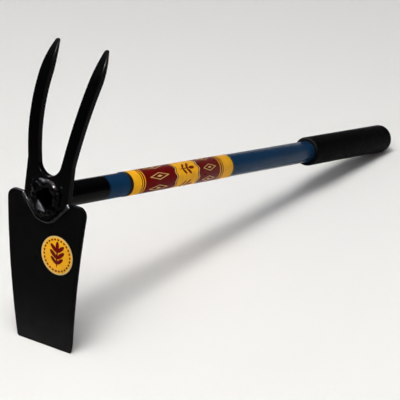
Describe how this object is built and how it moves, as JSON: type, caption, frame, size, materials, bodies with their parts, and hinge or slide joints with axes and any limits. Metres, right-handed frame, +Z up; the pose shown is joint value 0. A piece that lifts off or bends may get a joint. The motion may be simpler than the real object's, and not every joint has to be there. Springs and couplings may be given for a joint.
{
  "type": "hand hoe with fork",
  "caption": "Short hand hoe: a tapered bowed blade and a bent fork welded to a tube handle, with a wrap label and a closed soft grip, for chopping, weeding and loosening soil.",
  "frame": {"origin": "middle of the cutting edge's flat land, on the ground that the tool is laid on", "axes": "+X across the blade, to the left of a user who holds the grip and faces the head; +Y along the ground from the head to the grip; +Z up, from the cutting edge towards the fork's tips"},
  "size_m": [0.0992, 0.6542, 0.2984],
  "materials": {
    "fork_paint": "gloss",
    "blade_paint": "satin",
    "weld_paint": "gloss",
    "tube_paint": "gloss",
    "label_film": "gloss",
    "sticker_film": "gloss",
    "grip_foam": "matte"
  },
  "bodies": {
    "root": {"fork": "fork_paint", "hoe_blade": "blade_paint", "seam_weld": "weld_paint", "eye_weld": "weld_paint", "rear_weld": "weld_paint", "handle_tube": "tube_paint", "label_sleeve": "label_film", "blade_sticker": "sticker_film", "hand_grip": "grip_foam"}
  },
  "joints": []
}
